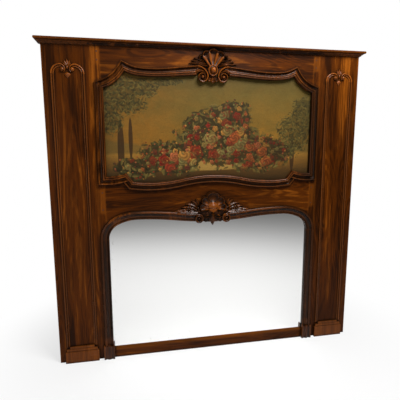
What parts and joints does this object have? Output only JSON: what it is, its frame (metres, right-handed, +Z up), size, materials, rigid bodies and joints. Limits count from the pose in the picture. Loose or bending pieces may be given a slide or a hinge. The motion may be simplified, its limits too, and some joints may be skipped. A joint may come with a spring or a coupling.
{
  "type": "trumeau mirror",
  "caption": "Wide carved walnut overmantel in a rococo style: an arched mirror below a painted panel, both in scrolled mouldings, between pilasters under a cornice.",
  "frame": {"origin": "bottom centre of the overall box: centre of the width, half way between the wall side and the crest's front, at the base", "axes": "+X to the right seen from the front, the front faces -Y and the wall side +Y, +Z up"},
  "size_m": [1.548, 0.1, 1.494],
  "materials": {
    "walnut_upright": "old waxed walnut, vertical figure",
    "walnut_rail": "old waxed walnut, horizontal figure",
    "walnut_moulding": "waxed walnut moulding, rubbed lighter on the beads",
    "walnut_carving": "waxed carved walnut, dark in the hollows",
    "walnut_pegs": "end grain of walnut pegs",
    "carcass_wood": "bare old softwood, unvarnished",
    "iron": "dark forged iron",
    "mirror_plate": "silvered glass",
    "painted_canvas": "oil paint on canvas laid on a panel, matt varnish"
  },
  "bodies": {
    "root": {"back_board_1": "carcass_wood", "back_board_2": "carcass_wood", "back_board_3": "carcass_wood", "back_board_nails": "iron", "bottom_rail": "walnut_rail", "cartouche_shell": "walnut_carving", "centre_stile_left": "walnut_upright", "centre_stile_right": "walnut_upright", "cornice_board": "walnut_rail", "cornice_moulding_front": "walnut_moulding", "cornice_moulding_left": "walnut_moulding", "cornice_moulding_right": "walnut_moulding", "crest_shell": "walnut_carving", "crest_volute_left": "walnut_carving", "crest_volute_right": "walnut_carving", "flower_spray_left": "walnut_carving", "flower_spray_right": "walnut_carving", "foot_block_left": "walnut_moulding", "foot_block_right": "walnut_moulding", "glazing_blocks": "carcass_wood", "hanging_plates": "iron", "inner_post_left": "carcass_wood", "inner_post_right": "carcass_wood", "middle_batten": "carcass_wood", "middle_rail": "walnut_rail", "mirror_glass": "mirror_plate", "mirror_moulding_arch_left": "walnut_moulding", "mirror_moulding_arch_right": "walnut_moulding", "mirror_moulding_side_left": "walnut_moulding", "mirror_moulding_side_right": "walnut_moulding", "painting_moulding_bottom": "walnut_moulding", "painting_moulding_ear_left": "walnut_moulding", "painting_moulding_ear_right": "walnut_moulding", "painting_moulding_low_ear_left": "walnut_moulding", "painting_moulding_low_ear_right": "walnut_moulding", "painting_moulding_side_left": "walnut_moulding", "painting_moulding_side_right": "walnut_moulding", "painting_moulding_step_left": "walnut_moulding", "painting_moulding_step_right": "walnut_moulding", "painting_moulding_top_left": "walnut_moulding", "painting_moulding_top_right": "walnut_moulding", "painting_panel": "painted_canvas", "pilaster_arch_left": "walnut_carving", "pilaster_arch_right": "walnut_carving", "pilaster_bead_left_left": "walnut_moulding", "pilaster_bead_left_right": "walnut_moulding", "pilaster_bead_right_left": "walnut_moulding", "pilaster_bead_right_right": "walnut_moulding", "pilaster_board_left": "walnut_upright", "pilaster_board_right": "walnut_upright", "plate_nails": "iron", "plinth_block_left": "walnut_moulding", "plinth_block_right": "walnut_moulding", "plinth_cap_left": "walnut_moulding", "plinth_cap_right": "walnut_moulding", "rail_pegs": "walnut_pegs", "side_return_left": "walnut_upright", "side_return_right": "walnut_upright", "top_board": "carcass_wood", "top_rail": "walnut_rail"}
  },
  "joints": []
}
